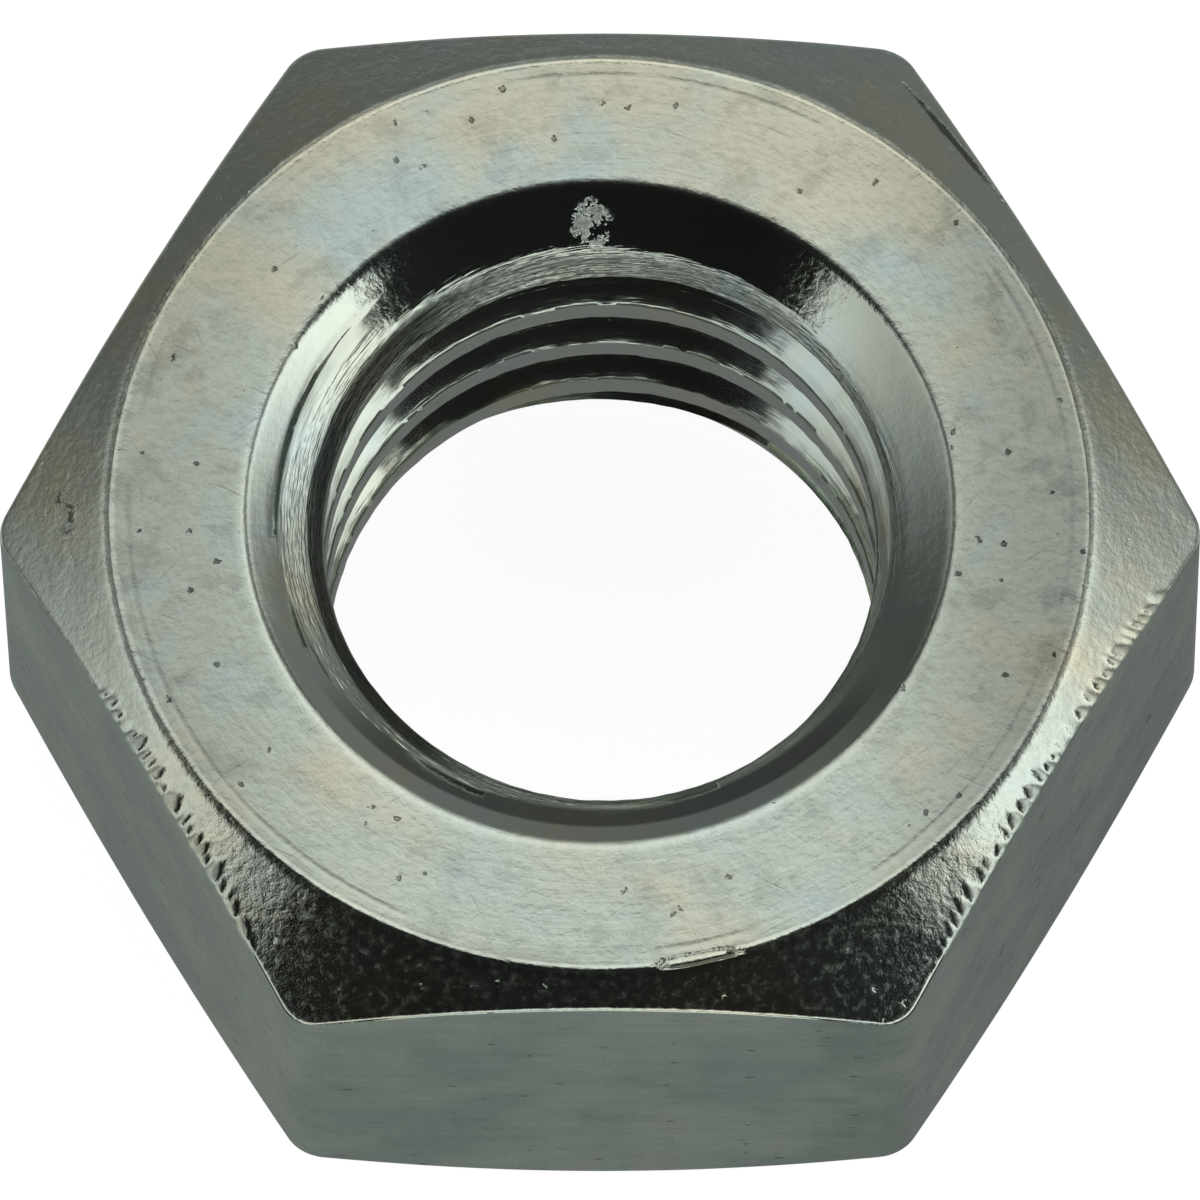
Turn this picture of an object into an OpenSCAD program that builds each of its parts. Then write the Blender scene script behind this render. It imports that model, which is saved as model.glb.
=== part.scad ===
// Hex nut, M8 x 1.25 left-hand, chamfered on both faces, zinc plated.
// One solid piece of steel: hexagonal body, two bearing faces, tapped through hole.
// Millimetres. Z is the thread axis, the lower bearing face lies on Z = 0,
// corners lie on +X and -X, flats face -Y and +Y.

/* [Body] */
// Width across flats
across_flats = 13; // [12.7:0.05:13]
// Height of the nut between its bearing faces
nut_height = 6.2; // [6.1:0.05:6.5]
// Radius that rounds the six upright corner edges
corner_r = 0.5; // [0.2:0.05:0.8]

/* [Chamfers] */
// Diameter of the round bearing face left inside the chamfer
bearing_d = 12.2; // [11.6:0.05:12.8]
// Slope of the chamfer below the plane of the bearing face, degrees
chamfer_angle = 30; // [15:1:35]

/* [Thread] */
// Nominal diameter, across the thread roots
thread_d = 8; // [8:0.05:8.3]
// Diameter of the hole across the thread crests
minor_d = 6.84; // [6.65:0.01:6.91]
// Rise of the thread in one turn
pitch = 1.25; // [1:0.05:1.5]
// Left-hand thread, or right-hand when unticked
left_hand = true;
// Height of a groove turn above Z = 0 on the +X side
groove_height = 0.27; // [0:0.01:1.25]
// Extra radius of two opposite quadrants of the crest hole
out_of_round = 0.01; // [0.005:0.005:0.03]

/* [Countersinks] */
// Upper countersink diameter where it meets the bearing face
upper_sink_d = 8.75; // [8.5:0.05:9.5]
// Upper countersink wall slope away from the thread axis, degrees
upper_sink_angle = 60; // [45:1:60]
// Lower countersink diameter where it meets the bearing face
lower_sink_d = 9; // [8.5:0.05:9.5]
// Lower countersink wall slope away from the thread axis, degrees
lower_sink_angle = 45; // [45:1:60]

/* [Hidden] */

// Straight steps in one turn of the thread groove
groove_steps = 36;
// Half width of the flat at the thread root
root_half = pitch / 16;
// Flank slope of a 60 degree thread: axial run for each unit of radius
flank = tan(30);
// The groove tool reaches this far inside the crest circle
groove_inset = 0.3;
// How far the edge rounding stops short of meeting the flats smoothly
corner_ease = 0.005;
// Clearance so that cuts run past the faces they open
past = 1;

corner_span = across_flats / sqrt(3);

// Point of the groove tool at step i, at radius r, dz above its own centre line
function groove_point(i, r, dz) =
  let (turn = i / groove_steps)
  [r * cos(360 * turn), r * sin(360 * turn), groove_height + pitch * (turn - 2) + dz];

// The four corners of the groove tool at step i
function groove_ring(i) =
  let (inner_r = minor_d / 2 - groove_inset)
  let (inner_half = root_half + (thread_d / 2 - inner_r) * flank)
  [
    groove_point(i, inner_r, -inner_half),
    groove_point(i, thread_d / 2, -root_half),
    groove_point(i, thread_d / 2, root_half),
    groove_point(i, inner_r, inner_half),
  ];

// Side wall k between steps i and i + 1, as two triangles
function groove_wall(i, k) =
  let (a = 4 * i + k, b = 4 * i + (k + 1) % 4)
  [[a, b + 4, a + 4], [a, b, b + 4]];

// Right-hand helical cut with a trapezoidal 60 degree profile
module thread_groove() {
  turns = ceil(nut_height / pitch) + 4;
  last = turns * groove_steps;
  start_cap = [[3, 2, 1, 0]];
  end_cap = [[4 * last, 4 * last + 1, 4 * last + 2, 4 * last + 3]];
  walls = [for (i = [0 : last - 1]) for (k = [0 : 3]) each groove_wall(i, k)];
  polyhedron(
    points = [for (i = [0 : last]) each groove_ring(i)],
    faces = concat(start_cap, end_cap, walls),
    convexity = 20
  );
}

// Turns a right-hand cut into the hand that is set
module handed() {
  if (left_hand)
    mirror([0, 1, 0])
    children();
  else
    children();
}

// Everything outside the rounded edge at one corner
module corner_waste() {
  centre_r = corner_span - 2 * (corner_r - corner_ease) / sqrt(3);
  difference() {
    translate([centre_r + corner_r * cos(30), -corner_r, -past])
    cube([2 * corner_r, 2 * corner_r, nut_height + 2 * past]);
    translate([centre_r, 0, -2 * past])
    cylinder(r = corner_r, h = nut_height + 4 * past, $fn = 96);
  }
}

// Hexagonal bar with its six upright edges rounded
module hex_bar() {
  difference() {
    cylinder(r = corner_span, h = nut_height, $fn = 6);
    for (k = [0 : 5])
      rotate([0, 0, 60 * k])
      corner_waste();
  }
}

// Double cone that trims the corners of both faces: drawn with 45 degree slopes, then flattened
module face_chamfers() {
  slope = tan(chamfer_angle);
  reach = corner_span + past;
  bearing_r = bearing_d / 2;
  top = nut_height / slope;
  scale([1, 1, slope])
  rotate_extrude($fn = 96)
  polygon([
    [0, -bearing_r],
    [reach, reach - bearing_r],
    [reach, top + bearing_r - reach],
    [0, top + bearing_r],
  ]);
}

// Straight hole at the crest diameter, with two opposite quadrants slightly out of round
module crest_hole() {
  height = nut_height + 2 * past;
  translate([0, 0, -past]) {
    cylinder(d = minor_d, h = height, $fn = 96);
    for (a = [0, 180])
      rotate([0, 0, a])
      rotate_extrude(angle = 90, $fn = 96)
      square([minor_d / 2 + out_of_round, height]);
  }
}

// Conical lead-in, widest at Z = 0
module countersink(mouth_d, wall_angle) {
  slope = tan(wall_angle);
  depth = (mouth_d - minor_d) / 2 / slope + 0.2;
  translate([0, 0, -past])
  cylinder(
    r1 = mouth_d / 2 + slope * past,
    r2 = mouth_d / 2 - slope * depth,
    h = depth + past,
    $fn = 96
  );
}

module nut_body() {
  color([0.72, 0.74, 0.70])
  difference() {
    intersection() {
      hex_bar();
      face_chamfers();
    }
    crest_hole();
    countersink(lower_sink_d, lower_sink_angle);
    translate([0, 0, nut_height])
    mirror([0, 0, 1])
    countersink(upper_sink_d, upper_sink_angle);
    handed() thread_groove();
  }
}

nut_body();
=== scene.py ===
import math
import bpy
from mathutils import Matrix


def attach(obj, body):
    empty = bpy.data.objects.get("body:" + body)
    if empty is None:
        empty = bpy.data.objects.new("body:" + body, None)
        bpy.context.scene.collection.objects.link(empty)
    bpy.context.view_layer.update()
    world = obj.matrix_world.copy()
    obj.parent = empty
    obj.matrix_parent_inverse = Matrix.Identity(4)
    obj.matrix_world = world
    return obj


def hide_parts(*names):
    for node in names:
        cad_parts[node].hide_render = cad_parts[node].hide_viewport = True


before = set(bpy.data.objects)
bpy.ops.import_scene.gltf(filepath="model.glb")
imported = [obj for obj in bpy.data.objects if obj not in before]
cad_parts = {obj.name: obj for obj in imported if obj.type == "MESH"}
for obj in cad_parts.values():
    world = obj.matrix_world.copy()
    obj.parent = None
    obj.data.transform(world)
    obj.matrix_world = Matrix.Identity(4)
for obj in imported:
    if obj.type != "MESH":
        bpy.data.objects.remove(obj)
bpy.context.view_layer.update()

from types import SimpleNamespace

import bpy
import numpy as np
from mathutils import Matrix, Vector

# ---------------------------------------------------------------- sizes, millimetres

MM = 0.001
FLATS = 13.0
HEIGHT = 6.2
CORNER_R = 0.5
BEARING_R = 6.1
CHAMFER_SLOPE = math.tan(math.radians(30))

# Left-hand thread: the groove falls by one pitch in a turn, counter-clockwise from above
PITCH = 1.25
MINOR_R = 3.42
MAJOR_R = 4.0
ROOT_HALF = PITCH / 16
FLANK = math.tan(math.radians(30))
GROOVE_HEIGHT = 0.27
EDGE_WEAR = 0.025

# Countersinks: radius at the face, and radius lost for each millimetre of depth
UPPER_SINK = (4.375, math.tan(math.radians(60)))
LOWER_SINK = (4.5, math.tan(math.radians(45)))
SINK_BLEND = 0.18
ENTRY_WEAR = 0.20
RIM_FILLET = 0.08
GROOVE_BLEND = 0.08

# Upper edges torn by the trimming die: the flat's angle, the torn stretch in degrees, and the teeth
TORN_EDGES = (
    {"flat": 210, "stretch": (197, 234), "height": 0.030, "reach": 0.20, "spacing": 0.20},
    {"flat": 330, "stretch": (304, 355), "height": 0.028, "reach": 0.19, "spacing": 0.19},
)

# Single marks: centre, half sizes along and across, and the turn of the long side in degrees
SCUFF = ((-0.1, 3.95, 5.95), (0.30, 0.24), 80)
CHAMFER_PITS = ((-6.6, 0.15, 5.9), (0.36, 0.12), 95)
CRACK = ((4.35, 5.15, 5.85), (0.95, 0.05), -54)
RIM_NICK = ((1.23, -5.90, 6.2), (0.55, 0.10), 10)

# Mesh density
HOLE_COLUMNS = 360
OUTER_COLUMNS = 860
ZIP_GAP = 0.07

rng = np.random.default_rng(7)


# ---------------------------------------------------------------- small numeric helpers

def smoothstep(lo, hi, x):
    t = np.clip((x - lo) / (hi - lo), 0, 1)
    return t * t * (3 - 2 * t)


def soft_max(a, b, width):
    """The larger value, with a rounded changeover where the two are within `width` of each other."""
    share = np.clip(1 - np.abs(a - b) / width, 0, 1)
    return np.maximum(a, b) + share ** 2 * width / 4


def angle_gap(theta, centre):
    """Signed angle from centre to theta, between -pi and pi."""
    return np.mod(theta - centre + np.pi, 2 * np.pi) - np.pi


def ring_noise(theta, waves, fade=1.0):
    """Seeded smooth noise round the nut, about -1 to 1, from 1 to `waves` waves a turn."""
    total = np.zeros_like(theta)
    power = 0.0
    for k in range(1, waves + 1):
        total += np.cos(k * theta + rng.uniform(0, 2 * np.pi)) / k ** fade
        power += 0.5 / k ** (2 * fade)
    return total / math.sqrt(power) / 2


def hex_radius(theta):
    """Distance from the axis to the hexagon with rounded corners, flats facing -Y and +Y."""
    sector = np.abs(np.mod(theta + np.pi / 6, np.pi / 3) - np.pi / 6)
    centre = (FLATS - 2 * CORNER_R) / math.sqrt(3)
    flat = FLATS / 2 / np.cos(np.pi / 6 - sector)
    tangent = math.atan2(CORNER_R / 2, centre + CORNER_R * math.cos(math.pi / 6))
    inside = np.clip(CORNER_R ** 2 - (centre * np.sin(sector)) ** 2, 0, None)
    arc = centre * np.cos(sector) + np.sqrt(inside)
    return np.where(sector < tangent, arc, flat)


# ---------------------------------------------------------------- the hole

def thread_profile(u):
    """Radius across the thread, u millimetres along the axis from the middle of a groove."""
    off = np.abs(np.mod(u + PITCH / 2, PITCH) - PITCH / 2)
    return np.clip(MAJOR_R - (off - ROOT_HALF) / FLANK, MINOR_R, MAJOR_R)


def worn_profile(u):
    """Thread profile with its edges slightly rounded."""
    shifts = np.linspace(-EDGE_WEAR, EDGE_WEAR, 5)
    return sum(thread_profile(u + s) for s in shifts) / len(shifts)


def hole_radius(thread, z):
    """Thread radius opened out by the two countersinks at height z."""
    depth = HEIGHT - z
    worn_crest = MINOR_R + ENTRY_WEAR * smoothstep(1.05, 0.40, depth)
    upper = soft_max(UPPER_SINK[0] - depth * UPPER_SINK[1], worn_crest, SINK_BLEND)
    lower = soft_max(LOWER_SINK[0] - z * LOWER_SINK[1], MINOR_R, SINK_BLEND)
    sunk = np.maximum(upper, lower)
    sunk = sunk - GROOVE_BLEND * smoothstep(MINOR_R + GROOVE_BLEND, MINOR_R, sunk)
    return soft_max(thread, sunk, GROOVE_BLEND)


def pitch_rows():
    """Heights of the mesh rows within one pitch, closer together at the edges of the profile."""
    crest_edge = ROOT_HALF + (MAJOR_R - MINOR_R) * FLANK
    half = [0.045, ROOT_HALF - 0.012, ROOT_HALF + 0.02]
    half += list(np.linspace(ROOT_HALF + 0.02, crest_edge - 0.02, 5)[1:])
    half += list(np.linspace(crest_edge + 0.012, PITCH / 2, 6)[:-1])
    return np.array([0.0] + half + [PITCH / 2] + [PITCH - h for h in reversed(half)])


# ---------------------------------------------------------------- mesh building

class MeshParts:
    """Collects points, faces and one weight per finish, then makes the mesh object."""

    FINISHES = ("turned", "chamfer", "flat", "sink", "thread", "entry", "burr")

    def __init__(self):
        self.points = []
        self.weights = []
        self.faces = []
        self.count = 0

    def add_points(self, theta, radius, z, **weights):
        """Adds one point for each theta and returns their indices."""
        size = len(theta)
        radius = np.broadcast_to(radius, theta.shape)
        z = np.broadcast_to(z, theta.shape)
        self.points.append(np.stack([radius * np.cos(theta), radius * np.sin(theta), z], -1))
        row = np.zeros((size, len(self.FINISHES)))
        for name, value in weights.items():
            row[:, self.FINISHES.index(name)] = value
        self.weights.append(row)
        first = self.count
        self.count += size
        return np.arange(first, self.count)

    def join_rings(self, inner, outer):
        """Quads between two rings with the same columns."""
        following = np.roll(np.arange(len(inner)), -1)
        quads = np.stack([inner, outer, outer[following], inner[following]], -1)
        self.faces.extend(quads.tolist())

    def zip_rings(self, inner, inner_theta, outer, outer_theta):
        """Triangles between two rings whose columns differ, both starting at angle 0."""
        i, j = 0, 0
        n, m = len(inner), len(outer)
        inner_next = np.append(inner_theta, 2 * np.pi)
        outer_next = np.append(outer_theta, 2 * np.pi)
        while i < n or j < m:
            step_inner = j >= m or (i < n and inner_next[i + 1] <= outer_next[j + 1])
            if step_inner:
                self.faces.append([int(inner[i % n]), int(outer[j % m]), int(inner[(i + 1) % n])])
                i += 1
            else:
                self.faces.append([int(inner[i % n]), int(outer[j % m]), int(outer[(j + 1) % m])])
                j += 1

    def build(self, name):
        mesh = bpy.data.meshes.new(name)
        points = np.concatenate(self.points) * MM
        mesh.from_pydata(points.tolist(), [], self.faces)
        weights = np.concatenate(self.weights)
        for k, finish in enumerate(self.FINISHES):
            layer = mesh.attributes.new(finish, "FLOAT", "POINT")
            layer.data.foreach_set("value", weights[:, k].astype(np.float32))
        mesh.polygons.foreach_set("use_smooth", [True] * len(mesh.polygons))
        mesh.update()
        mesh.set_sharp_from_angle(angle=math.radians(42))
        obj = bpy.data.objects.new(name, mesh)
        bpy.context.scene.collection.objects.link(obj)
        return obj


def fillet(before, corner, after, size, count):
    """Points that round a profile corner, from `size` before it to `size` after it."""
    toward = before - corner
    away = after - corner
    start = corner + toward / np.linalg.norm(toward, axis=-1, keepdims=True) * size
    end = corner + away / np.linalg.norm(away, axis=-1, keepdims=True) * size
    return [(1 - s) ** 2 * start + 2 * s * (1 - s) * corner + s ** 2 * end
            for s in np.linspace(0, 1, count)]


def straight(start, end, count, crowd_start=1.0, crowd_end=1.0):
    """Points strictly between two profile points, crowded towards either end by powers above 1."""
    t = np.linspace(0, 1, count + 2)[1:-1]
    t = t ** crowd_start
    t = 1 - (1 - t) ** crowd_end
    return [start + (end - start) * s for s in t]


# ---------------------------------------------------------------- hole block

def add_hole(parts):
    """Thread and countersinks on a grid that follows the helix. Returns the lower and upper outer rings."""
    theta = np.linspace(0, 2 * np.pi, HOLE_COLUMNS, endpoint=False)
    steps = pitch_rows()
    per_pitch = len(steps)
    turns = range(-2, math.ceil(HEIGHT / PITCH) + 3)
    rows = np.concatenate([steps + PITCH * k for k in turns])
    low_edge = RIM_FILLET / math.sqrt(1 + LOWER_SINK[1] ** 2)
    high_edge = RIM_FILLET / math.sqrt(1 + UPPER_SINK[1] ** 2)

    low_rings = rim_rings(parts, theta, 0.0, LOWER_SINK, 1)
    high_rings = rim_rings(parts, theta, HEIGHT, UPPER_SINK, -1)
    low_rim, high_rim = low_rings[-1], high_rings[-1]

    index = np.zeros((len(rows), HOLE_COLUMNS + 1), dtype=int)
    for j, u in enumerate(rows):
        z = u + GROOVE_HEIGHT - PITCH * theta / (2 * np.pi)
        groove = worn_profile(u)
        radius = hole_radius(groove, z)
        depth = HEIGHT - z
        in_cone = np.where(
            depth < 1.2,
            smoothstep(3.60, 3.68, radius) * smoothstep(0.0, 0.02, radius - groove),
            smoothstep(0.02, 0.12, radius - groove))
        entry = smoothstep(0.36, 0.46, depth) * smoothstep(1.3, 0.9, depth)
        radius = radius + 0.006 * (1 - in_cone) * ring_noise(theta, 90, 0.35)
        inside = (z > low_edge + 0.02) & (z < HEIGHT - high_edge - 0.012)
        ids = np.where(z <= low_edge + 0.02, low_rim, high_rim)
        ids[inside] = parts.add_points(
            theta[inside], radius[inside], z[inside],
            sink=in_cone[inside], thread=1 - in_cone[inside], entry=entry[inside])
        index[j, :-1] = ids
    index[per_pitch:, -1] = index[:-per_pitch, 0]
    index[:per_pitch, -1] = low_rim[0]

    quads = np.stack([index[:-1, :-1], index[1:, :-1], index[1:, 1:], index[:-1, 1:]], -1)
    for quad in quads.reshape(-1, 4).tolist():
        face = [v for k, v in enumerate(quad) if v != quad[k - 1]]
        if len(face) > 2:
            parts.faces.append(face)
    return theta, low_rings[0], high_rings[0]


def rim_rings(parts, theta, face_z, sink, into):
    """Rings that round one countersink's rim, from the flat face to just inside the cone."""
    mouth, spread = sink
    corner = np.array([mouth, face_z])
    on_face = np.array([mouth + 1.0, face_z])
    in_cone = np.array([mouth - spread, face_z + into])
    points = [np.array([mouth + 2 * RIM_FILLET, face_z])]
    points += fillet(on_face, corner, in_cone, RIM_FILLET, 5)
    rings = []
    for k, (radius, z) in enumerate(points):
        share = k / (len(points) - 1)
        rings.append(parts.add_points(theta, radius, z, turned=1 - share, sink=share))
    for a, b in zip(rings, rings[1:]):
        parts.join_rings(*((b, a) if into < 0 else (a, b)))
    return rings


# ---------------------------------------------------------------- outer block

def outer_angles():
    """Column angles, closer together at the corners and along the two torn edges."""
    fine = np.linspace(0, 2 * np.pi, 7200, endpoint=False)
    corner = np.abs(np.mod(fine + np.pi / 6, np.pi / 3) - np.pi / 6)
    density = 1 + 2.2 * (corner < math.radians(4.5))
    for edge in TORN_EDGES:
        first, last = np.radians(edge["stretch"])
        density = np.where((fine > first) & (fine < last), np.maximum(density, 2.6), density)
    total = np.concatenate([[0], np.cumsum(density)])
    targets = np.linspace(0, total[-1], OUTER_COLUMNS, endpoint=False)
    return np.interp(targets, total, np.append(fine, 2 * np.pi))


def torn_teeth(theta, edge):
    """Height and reach of the teeth of one torn edge at each column."""
    facing = math.radians(edge["flat"])
    first, last = (FLATS / 2 * math.tan(math.radians(a) - facing) for a in edge["stretch"])
    along = FLATS / 2 * np.tan(np.clip(angle_gap(theta, facing), -0.6, 0.6))
    height = np.zeros_like(theta)
    reach = np.zeros_like(theta)
    place = first
    while place < last:
        gap = edge["spacing"] * rng.uniform(0.5, 1.5)
        half_width = gap * rng.uniform(0.5, 0.8)
        tooth = np.cos(np.clip((along - place) / half_width, -1, 1) * np.pi / 2) ** 1.5
        height = np.maximum(height, edge["height"] * rng.uniform(0.4, 1.3) * tooth)
        reach = np.maximum(reach, edge["reach"] * rng.uniform(0.6, 1.25) * (0.35 + 0.65 * tooth))
        place += gap
    ends = smoothstep(first, first + 0.6, along) * smoothstep(last, last - 0.4, along)
    return height * ends, np.maximum(reach * ends, 1e-3)


def add_outside(parts):
    """Bearing faces, chamfers and wrench flats. Returns the innermost upper and lower rings."""
    theta = outer_angles()
    edge = hex_radius(theta)
    ones = np.ones_like(theta)
    circle = BEARING_R * ones + 0.012 * ring_noise(theta, 40, 0.6)

    def point(radius, z):
        return np.stack([radius * ones, z * ones], -1)

    drop = (edge - circle) * CHAMFER_SLOPE
    inner_top = point(UPPER_SINK[0] + 2 * RIM_FILLET + ZIP_GAP, HEIGHT)
    top_edge = point(circle, HEIGHT)
    top_brow = point(edge, HEIGHT - drop)
    low_brow = point(edge, drop)
    low_edge = point(circle, 0)
    inner_low = point(LOWER_SINK[0] + 2 * RIM_FILLET + ZIP_GAP, 0)

    bevel = fillet(inner_top, top_edge, top_brow, 0.09, 5)
    brow = fillet(top_edge, top_brow, low_brow, 0.045, 4)
    low_bevel = fillet(top_brow, low_brow, low_edge, 0.06, 4)
    low_turn = fillet(low_brow, low_edge, inner_low, 0.10, 4)

    profile = [(inner_top, "turned")]
    profile += [(p, "turned") for p in straight(inner_top, bevel[0], 7, crowd_end=1.3)]
    profile += [(p, "turned" if k < 2 else "chamfer") for k, p in enumerate(bevel)]
    profile += [(p, "chamfer") for p in straight(bevel[-1], brow[0], 9, crowd_end=1.5)]
    profile += [(p, "chamfer" if k < 2 else "flat") for k, p in enumerate(brow)]
    profile += [(p, "flat") for p in straight(brow[-1], low_bevel[0], 13, crowd_start=2.0, crowd_end=1.3)]
    profile += [(p, "flat" if k < 2 else "chamfer") for k, p in enumerate(low_bevel)]
    profile += [(p, "chamfer") for p in straight(low_bevel[-1], low_turn[0], 4)]
    profile += [(p, "chamfer" if k < 2 else "turned") for k, p in enumerate(low_turn)]
    profile += [(p, "turned") for p in straight(low_turn[-1], inner_low, 3)]
    profile += [(inner_low, "turned")]

    teeth = [torn_teeth(theta, edge_data) for edge_data in TORN_EDGES]
    height = sum(t[0] for t in teeth)
    reach = np.maximum(teeth[0][1], teeth[1][1])
    rings = []
    for place, finish in profile:
        radius, z = place[:, 0], place[:, 1]
        inward = np.hypot(radius - edge, z - (HEIGHT - drop))
        on_flat = z < HEIGHT - drop - 0.01
        span = np.where(on_flat, 0.10, reach)
        lift = height * smoothstep(1.3, 0.35, inward / span)
        lift = lift * (0.85 + 0.15 * ring_noise(theta, 400, 0.1))
        torn = smoothstep(0.004, 0.02, lift)
        radius = radius + lift * np.where(on_flat, 0.5, 0.35)
        z = z + lift * np.where(on_flat, 0.3, 0.85)
        rings.append(parts.add_points(theta, radius, z, **{finish: 1, "burr": torn}))
    for a, b in zip(rings, rings[1:]):
        parts.join_rings(a, b)
    return theta, rings[0], rings[-1]


def build_nut():
    parts = MeshParts()
    hole_theta, low_rim, high_rim = add_hole(parts)
    outer_theta, top_ring, low_ring = add_outside(parts)
    parts.zip_rings(high_rim, hole_theta, top_ring, outer_theta)
    lower = MeshParts()
    lower.zip_rings(low_rim, hole_theta, low_ring, outer_theta)
    parts.faces.extend(face[::-1] for face in lower.faces)
    return parts.build("nut_skin")


# ---------------------------------------------------------------- materials

class Graph:
    """Short names for the shader nodes used here."""

    def __init__(self, tree):
        self.tree = tree

    def put(self, socket, value):
        if isinstance(value, bpy.types.NodeSocket):
            self.tree.links.new(value, socket)
        else:
            socket.default_value = value

    def add(self, kind, inputs=(), **settings):
        node = self.tree.nodes.new(kind)
        for name, value in settings.items():
            setattr(node, name, value)
        for key, value in dict(inputs).items():
            self.put(node.inputs[key], value)
        return node

    def math(self, operation, a, b=0.0, c=0.0):
        return self.add("ShaderNodeMath", {0: a, 1: b, 2: c}, operation=operation).outputs[0]

    def vector(self, operation, a, b=(0, 0, 0)):
        return self.add("ShaderNodeVectorMath", {0: a, 1: b}, operation=operation).outputs[0]

    def combine(self, x, y, z):
        return self.add("ShaderNodeCombineXYZ", {0: x, 1: y, 2: z}).outputs[0]

    def noise(self, place, scale, detail=3.0, roughness=0.5):
        inputs = {"Vector": place, "Scale": scale, "Detail": detail, "Roughness": roughness}
        return self.add("ShaderNodeTexNoise", inputs).outputs[0]

    def step(self, value, lo, hi, out_lo=0.0, out_hi=1.0):
        inputs = {0: value, 1: lo, 2: hi, 3: out_lo, 4: out_hi}
        return self.add("ShaderNodeMapRange", inputs, interpolation_type="SMOOTHSTEP").outputs[0]

    def blend(self, share, a, b):
        return self.add("ShaderNodeMix", {0: share, 6: a, 7: b}, data_type="RGBA").outputs[2]

    def weight(self, name):
        return self.add("ShaderNodeAttribute", attribute_name=name).outputs["Fac"]

    def total(self, terms):
        result = terms[0]
        for term in terms[1:]:
            result = self.math("ADD", result, term)
        return result


def specks(graph, place, size, share):
    """Scattered spots, one at most in each unit cell of place, in a share of the cells."""
    colours = graph.add("ShaderNodeTexNoise", {"Vector": place, "Scale": 5.0}).outputs[1]
    ragged = graph.vector("SCALE", colours)
    graph.put(ragged.node.inputs["Scale"], 0.35)
    cells = graph.add("ShaderNodeTexVoronoi", {"Vector": graph.vector("ADD", place, ragged), "Scale": 1.0})
    chosen = graph.add("ShaderNodeSeparateColor", {0: cells.outputs["Color"]}).outputs[0]
    spot = graph.step(cells.outputs["Distance"], size, size * 0.4)
    return graph.math("MULTIPLY", spot, graph.step(chosen, share, share - 0.02))


def scratch(graph, place, tilt):
    """Short hairline scratches across a flat face at an angle to X."""
    turned = graph.add("ShaderNodeVectorRotate", {"Vector": place, "Angle": math.radians(tilt)},
                       rotation_type="Z_AXIS").outputs[0]
    return specks(graph, graph.vector("MULTIPLY", turned, (0.7, 11.0, 1.0)), 0.20, 0.28)


def blot(graph, place, mark):
    """One soft-edged mark with a ragged outline."""
    centre, half_size, turn = mark
    offset = graph.vector("SUBTRACT", place, centre)
    turned = graph.add("ShaderNodeVectorRotate", {"Vector": offset, "Angle": math.radians(-turn)},
                       rotation_type="Z_AXIS").outputs[0]
    shape = graph.vector("MULTIPLY", turned, (1 / half_size[0], 1 / half_size[1], 1.0))
    reach = graph.add("ShaderNodeVectorMath", {0: shape}, operation="LENGTH").outputs["Value"]
    ragged = graph.math("MULTIPLY", graph.noise(place, 6.0, 3.0, 0.7), 1.2)
    return graph.step(graph.math("ADD", reach, ragged), 1.75, 1.25)


# Surface relief in millimetres. Here and below each row is a pattern, the finish it lies on, and its amount.
RELIEF = (
    ("lay", "turned", 0.003),
    ("grain", "turned", 0.005),
    ("peel", "turned", 0.006),
    ("scratches", "turned", -0.0007),
    ("ring", "turned", -0.003),
    ("lip", "turned", 0.003),
    ("nick", "turned", -0.03),
    ("pits", "turned", -0.010),
    ("pits", "chamfer", -0.003),
    ("pit_grain", "chamfer", 0.12),
    ("crack", "chamfer", -0.06),
    ("wrinkles", "beside_edge", 0.05),
    ("flecks", "flat", -0.012),
    ("grain", "chamfer", 0.007),
    ("peel", "chamfer", 0.007),
    ("streaks", "flat", 0.007),
    ("grain", "flat", 0.008),
    ("peel", "flat", 0.012),
    ("lay", "sink", 0.002),
    ("grain", "sink", 0.0035),
    ("peel", "sink", 0.006),
    ("scuff_grain", "sink", 0.03),
    ("thread_lines", "thread", 0.006),
    ("thread_lines", "entry", 0.028),
    ("grain", "burr", 0.012),
)

# Roughness of each finish, then what changes it
ROUGHNESS = (
    ("all", "turned", 0.30),
    ("all", "chamfer", 0.15),
    ("all", "flat", 0.28),
    ("all", "sink", 0.09),
    ("all", "thread", 0.15),
    ("all", "burr", 0.30),
    ("scuff", "sink", 0.35),
    ("frost", "chamfer", 0.10),
    ("lip", "turned", -0.14),
)
GRAIN_ROUGHNESS = 0.10

# Share of the metal's brightness that is lost, to stains and marks and to painted shade
STAINS_AND_SHADE = (
    ("dim_streaks", "flat", 1.0),
    ("dim_patches", "flat", 1.0),
    # Painted shade: the flats darker towards the right.
    ("right_of_flats_shade", "flat", 0.30),
    ("flecks", "flat", 0.45),
    ("pits", "turned", 0.40),
    ("scratches", "turned", 0.05),
    ("ring", "turned", 0.07),
    # Painted shade: the bearing face darker towards its left and right, more at the right, and towards the
    # far side.
    ("sides_shade", "turned", 0.30),
    ("right_of_face_shade", "turned", 0.13),
    ("far_side_shade", "turned", 0.10),
    ("mottle", "turned", 0.14),
    ("mottle", "flat", 0.08),
    # Painted shade: a dull band low on the front of the countersink.
    ("low_band_shade", "sink", 0.62),
    # Painted shade: a dark reflection band on the worn crest at the left of the hole.
    ("crest_band_shade", "entry", 0.80),
    ("all", "burr", -0.25),
    # Painted shade: the countersink darker at its right.
    ("right_of_sink_shade", "sink", 0.35),
    ("pit_group", "chamfer", 0.7),
    ("crack", "chamfer", 0.7),
)

# Colours of the metal, and how much of the green the flats take
ZINC = (0.61, 0.66, 0.60, 1)
ZINC_WARM = (0.68, 0.66, 0.54, 1)
ZINC_COOL = (0.58, 0.66, 0.66, 1)
ZINC_GREEN = (0.50, 0.65, 0.57, 1)
GREEN_ON_FLATS = 0.65


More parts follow.
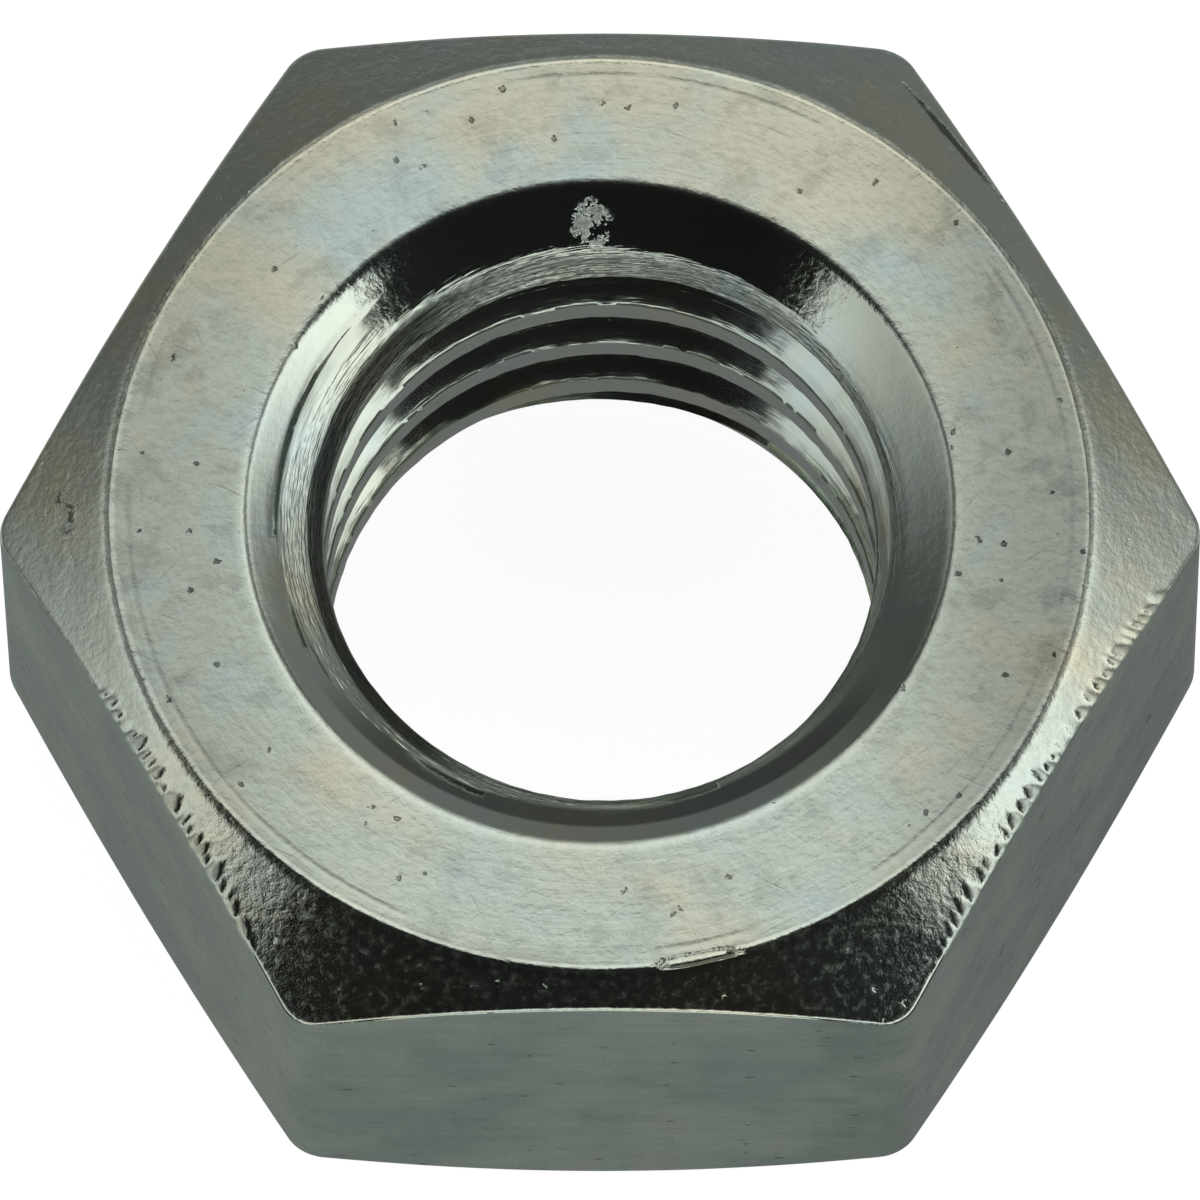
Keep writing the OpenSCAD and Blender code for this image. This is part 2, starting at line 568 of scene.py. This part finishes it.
def surface_place(graph):
    """Where a point of the surface lies, in millimetres, and its direction from the axis."""
    metres = graph.add("ShaderNodeTexCoord").outputs["Object"]
    place = graph.vector("MULTIPLY", metres, (1000, 1000, 1000))
    x, y, z = graph.add("ShaderNodeSeparateXYZ", {0: place}).outputs
    radius = graph.math("SQRT", graph.total([graph.math("MULTIPLY", x, x), graph.math("MULTIPLY", y, y)]))
    return SimpleNamespace(
        all=place, x=x, y=y, z=z, radius=radius,
        around_x=graph.math("DIVIDE", x, radius),
        around_y=graph.math("DIVIDE", y, radius))


def line_patterns(graph, at):
    """Lines left by turning, tapping and drawing, and fine scratches in a few directions."""
    lay_place = graph.combine(
        graph.math("MULTIPLY", at.around_x, 4.0),
        graph.math("MULTIPLY", at.around_y, 4.0),
        graph.math("MULTIPLY", at.radius, 9.0))
    angle = graph.math("ARCTAN2", at.y, at.x)
    climb = graph.math("MULTIPLY_ADD", angle, PITCH / (2 * math.pi), at.z)
    turn = graph.math("FRACT", graph.math("DIVIDE", climb, PITCH))
    thread_place = graph.combine(
        graph.math("MULTIPLY", at.around_x, 3.0),
        graph.math("MULTIPLY_ADD", at.z, 0.3, graph.math("MULTIPLY", at.around_y, 3.0)),
        graph.math("MULTIPLY", turn, 22.0))
    streak_place = graph.vector("MULTIPLY", at.all, (0.5, 0.5, 9.0))
    return {
        "lay": graph.noise(lay_place, 1.0, 4.0, 0.7),
        "thread_lines": graph.noise(thread_place, 1.0, 3.0, 0.7),
        "streaks": graph.noise(streak_place, 1.0, 4.0, 0.6),
        "scratches": graph.total([scratch(graph, at.all, tilt) for tilt in (25, -35, 65, 130)]),
    }


def spread_patterns(graph, at, flat):
    """Grain, patches, pits and wrinkles that are spread over the nut, and the wrinkled part of the flats."""
    grain = graph.noise(at.all, 9.0, 4.0, 0.65)
    wrinkle_place = graph.vector("MULTIPLY", at.all, (5.0, 5.0, 2.4))
    return {
        "grain": grain,
        "frost": graph.step(grain, 0.46, 0.70),
        "peel": graph.noise(at.all, 2.2, 2.0, 0.5),
        "patches": graph.noise(at.all, 0.55, 3.0, 0.6),
        "mottle": graph.step(graph.noise(at.all, 1.3, 5.0, 0.7), 0.50, 0.36),
        "pits": specks(graph, graph.vector("MULTIPLY", at.all, (3.2, 3.2, 3.2)), 0.15, 0.38),
        "flecks": specks(graph, graph.vector("MULTIPLY", at.all, (2.2, 2.2, 5.0)), 0.20, 0.34),
        "wrinkles": graph.noise(wrinkle_place, 1.0, 3.0, 0.6),
        "beside_edge": graph.math("MULTIPLY", flat, graph.step(at.radius, 6.95, 7.2)),
    }


def single_marks(graph, at, grain):
    """The marks at their own places, and the ring and lip just inside the rim of the bearing face."""
    broken = graph.noise(at.all, 5.0, 3.0, 0.7)
    scuff = graph.math("MULTIPLY", blot(graph, at.all, SCUFF), graph.step(broken, 0.40, 0.52))
    pit_group = graph.math("MULTIPLY", blot(graph, at.all, CHAMFER_PITS), graph.step(broken, 0.52, 0.58))
    off_ring = graph.math("ABSOLUTE", graph.math("SUBTRACT", at.radius, BEARING_R - 0.27))
    off_lip = graph.math("ABSOLUTE", graph.math("SUBTRACT", at.radius, BEARING_R - 0.06))
    ring_breaks = graph.step(graph.noise(at.all, 0.35, 1.0), 0.42, 0.55)
    return {
        "scuff": scuff,
        "scuff_grain": graph.math("MULTIPLY", grain, scuff),
        "pit_group": pit_group,
        "pit_grain": graph.math("MULTIPLY", grain, pit_group),
        "crack": blot(graph, at.all, CRACK),
        "nick": blot(graph, at.all, RIM_NICK),
        "ring": graph.math("MULTIPLY", graph.step(off_ring, 0.06, 0.0), ring_breaks),
        "lip": graph.step(off_lip, 0.07, 0.0),
    }


def shaded_parts(graph, at, streaks, patches):
    """Painted shade: the bearing face darker at its sides, right and far side, the flats and countersink
    darker at the right, a dull band low on the front of the countersink and a dark band on the worn crest at
    the left; also random dim streaks and patches on the flats.
    """
    # Painted shade: a dull band low on the front of the countersink.
    low_band_shade = graph.math("MULTIPLY", graph.step(at.radius, 4.14, 4.08), graph.step(at.radius, 3.78, 3.86))
    # Painted shade: a dark reflection band on the worn crest at the left of the hole.
    crest_band_shade = graph.math("MULTIPLY", graph.step(at.radius, 3.66, 3.60), graph.step(at.radius, 3.42, 3.46))
    return {
        "low_band_shade": graph.math("MULTIPLY", low_band_shade, graph.step(at.around_y, -0.45, -0.8)),
        "crest_band_shade": graph.math("MULTIPLY", crest_band_shade, graph.step(at.around_x, -0.35, -0.65)),
        # Painted shade: sides, right and far side of the bearing face, right of the flats and of the
        # countersink.
        "sides_shade": graph.step(graph.math("ABSOLUTE", at.x), 2.4, 5.6),
        "right_of_face_shade": graph.step(at.x, 3.0, 5.8),
        "right_of_flats_shade": graph.step(at.x, 1.5, 5.5),
        "right_of_sink_shade": graph.step(at.x, 2.4, 3.8),
        "far_side_shade": graph.step(at.y, 2.0, 5.5),
        "dim_streaks": graph.step(streaks, 0.35, 0.65, 0.08, 0.0),
        "dim_patches": graph.step(patches, 0.35, 0.65, 0.18, 0.0),
    }


def layered(graph, fields, rows):
    """Sum of the rows: a pattern (or "all") times the finish it lies on times its amount."""
    terms = []
    for pattern, finish, amount in rows:
        value = fields[finish]
        if pattern != "all":
            value = graph.math("MULTIPLY", fields[pattern], value)
        terms.append(graph.math("MULTIPLY", value, amount))
    return graph.total(terms)


def metal_tint(graph, at, fields):
    """Colour of the clean metal: warm and cool patches on all finishes, warmer towards the far side of the
    bearing faces, greener on the flats.
    """
    # The bearing faces turn warmer towards the far side.
    warmth_towards_back = graph.math("MULTIPLY", graph.step(at.y, 1.0, 6.0, 0.0, 0.16), fields["turned"])
    warm = graph.step(graph.math("ADD", fields["patches"], warmth_towards_back), 0.50, 0.72)
    cool = graph.step(fields["patches"], 0.48, 0.30)
    tint = graph.blend(warm, ZINC, ZINC_WARM)
    tint = graph.blend(cool, tint, ZINC_COOL)
    return graph.blend(graph.math("MULTIPLY", fields["flat"], GREEN_ON_FLATS), tint, ZINC_GREEN)


def zinc_material():
    mat = bpy.data.materials.new("zinc_plated_steel")
    mat.use_nodes = True
    graph = Graph(mat.node_tree)
    bsdf = mat.node_tree.nodes["Principled BSDF"]

    at = surface_place(graph)
    fields = {name: graph.weight(name) for name in MeshParts.FINISHES}
    fields.update(line_patterns(graph, at))
    fields.update(spread_patterns(graph, at, fields["flat"]))
    fields.update(single_marks(graph, at, fields["grain"]))
    fields.update(shaded_parts(graph, at, fields["streaks"], fields["patches"]))

    relief = layered(graph, fields, RELIEF)
    bump = graph.add("ShaderNodeBump", {"Height": relief, "Strength": 1.0, "Distance": MM})
    graph.put(bsdf.inputs["Normal"], bump.outputs[0])

    uneven = graph.math("MULTIPLY_ADD", fields["grain"], GRAIN_ROUGHNESS, -GRAIN_ROUGHNESS / 2)
    rough = graph.math("ADD", layered(graph, fields, ROUGHNESS), uneven)
    graph.put(bsdf.inputs["Roughness"], rough)

    shade = graph.math("SUBTRACT", 1.0, layered(graph, fields, STAINS_AND_SHADE))
    tint = graph.vector("SCALE", metal_tint(graph, at, fields))
    graph.put(tint.node.inputs["Scale"], shade)
    graph.put(bsdf.inputs["Base Color"], tint)
    bsdf.inputs["Metallic"].default_value = 1.0
    return mat


nut = build_nut()
nut.data.materials.append(zinc_material())
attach(nut, "root")
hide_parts("nut_body")


# ---------------------------------------------------------------- stage

# Light that the floor gives off, and how much more of it camera rays see
FLOOR_GLOW = 0.18
FLOOR_EXTRA_TO_CAMERA = 0.76


def floor_material():
    """Pale floor that looks white to the camera and much darker in the nut's reflections."""
    mat = bpy.data.materials.new("floor")
    mat.use_nodes = True
    graph = Graph(mat.node_tree)
    output = mat.node_tree.nodes["Material Output"]
    card = graph.add("ShaderNodeBsdfDiffuse", {"Color": (0.25, 0.26, 0.25, 1)}).outputs[0]
    seen = graph.add("ShaderNodeLightPath").outputs["Is Camera Ray"]
    strength = graph.math("MULTIPLY_ADD", seen, FLOOR_EXTRA_TO_CAMERA, FLOOR_GLOW)
    glow = graph.add("ShaderNodeEmission", {"Color": (1, 1, 1, 1), "Strength": strength})
    both = graph.add("ShaderNodeAddShader", {0: card, 1: glow.outputs[0]}).outputs[0]
    graph.put(output.inputs["Surface"], both)
    return mat


bpy.ops.mesh.primitive_plane_add(size=1.2, location=(0, 0, 0))
floor = bpy.context.object
floor.name = "floor"
floor.data.materials.append(floor_material())

# ---------------------------------------------------------------- camera

# Angles of the photo's camera, its distance in metres, its lens in frame widths, and its aim in millimetres
ELEVATION = math.radians(68.6)
TURN = math.radians(-0.86)
ROLL = math.radians(-0.84)
DISTANCE = 0.3185
FOCAL_WIDTHS = 21.495
AIM_RIGHT = 0.005
AIM_UP = -1.095


def place_camera():
    cos_t, sin_t = math.cos(-TURN), math.sin(-TURN)
    spin = Matrix(((cos_t, -sin_t, 0), (sin_t, cos_t, 0), (0, 0, 1)))
    back = spin @ Vector((0, -math.cos(ELEVATION), math.sin(ELEVATION)))
    level = spin @ Vector((1, 0, 0))
    lift = spin @ Vector((0, math.sin(ELEVATION), math.cos(ELEVATION)))
    right = math.cos(ROLL) * level + math.sin(ROLL) * lift
    up = -math.sin(ROLL) * level + math.cos(ROLL) * lift
    target = Vector((0, 0, HEIGHT * MM)) + right * AIM_RIGHT * MM + up * AIM_UP * MM
    data = bpy.data.cameras.new("camera")
    data.sensor_fit = "HORIZONTAL"
    data.sensor_width = 36.0
    data.lens = 36.0 * FOCAL_WIDTHS
    data.clip_start = 0.01
    data.clip_end = 10
    cam = bpy.data.objects.new("camera", data)
    bpy.context.scene.collection.objects.link(cam)
    place = target + back * DISTANCE
    rows = Matrix((right, up, back)).transposed().to_4x4()
    cam.matrix_world = Matrix.Translation(place) @ rows
    bpy.context.scene.camera = cam


place_camera()


# ---------------------------------------------------------------- light

# Dark opening above the front: how far it reaches from its middle, in degrees, and its level
OPENING_EDGE = (36.5, 39.5)
OPENING_LEVEL = 0.010
# How much wider the opening is at its two front corners, degrees
OPENING_CORNERS = 10.0
# Share of light missing in the two dark gaps, and the share more that comes from overhead
GAP_LOSS = 0.8
OVERHEAD_GAIN = 0.15


def studio_world():
    """Soft light dome: a dark opening above the front, two dark gaps at the back, dimmer left and back."""
    world = bpy.data.worlds.new("studio")
    world.use_nodes = True
    graph = Graph(world.node_tree)
    background = world.node_tree.nodes["Background"]
    direction = graph.vector("NORMALIZE", graph.add("ShaderNodeTexCoord").outputs["Generated"])
    x, y, z = graph.add("ShaderNodeSeparateXYZ", {0: direction}).outputs
    across = graph.math("ABSOLUTE", x)

    # Angle from the middle of the opening, in degrees
    middle = (0.0, -math.cos(ELEVATION), math.sin(ELEVATION))
    dot = graph.add("ShaderNodeVectorMath", {0: direction, 1: middle}, operation="DOT_PRODUCT")
    away = graph.math("DEGREES", graph.math("ARCCOSINE", dot.outputs["Value"]))

    # The dome itself
    ring = graph.step(away, 42, 85, 1.15, 0.17)
    front = graph.step(y, 0.15, -0.35, 0.0, 1.0)
    side = graph.step(x, -0.9, 0.9, 0.75, 1.25)
    low = graph.step(z, 0.10, 0.0, 0.0, 0.35)
    level = graph.math("MULTIPLY", graph.math("MAXIMUM", ring, front), side)
    level = graph.math("MAXIMUM", level, low)

    # Two dark gaps at the back, left and right
    gap = graph.math("MULTIPLY", graph.step(across, 0.30, 0.38), graph.step(across, 0.62, 0.52))
    gap = graph.math("MULTIPLY", gap, graph.step(z, 0.45, 0.6))
    gap = graph.math("MULTIPLY", gap, graph.step(y, 0.02, 0.15))
    level = graph.math("MULTIPLY", level, graph.math("MULTIPLY_ADD", gap, -GAP_LOSS, 1.0))

    # Slightly brighter between them
    overhead = graph.math("MULTIPLY", graph.step(across, 0.34, 0.26), graph.step(y, 0.05, 0.15))
    overhead = graph.math("MULTIPLY", overhead, graph.step(y, 0.75, 0.55))
    level = graph.math("MULTIPLY", level, graph.math("MULTIPLY_ADD", overhead, OVERHEAD_GAIN, 1.0))

    # The dark opening
    corners = graph.math("MULTIPLY", graph.step(across, 0.22, 0.42), graph.step(y, -0.31, -0.37))
    inside = graph.math("MULTIPLY_ADD", corners, -OPENING_CORNERS, away)
    level = graph.math("MULTIPLY", level, graph.step(inside, *OPENING_EDGE, OPENING_LEVEL, 1.0))
    graph.put(background.inputs["Strength"], level)
    background.inputs["Color"].default_value = (0.97, 1.0, 0.95, 1)
    bpy.context.scene.world = world


studio_world()
bpy.context.scene.view_settings.view_transform = "Standard"
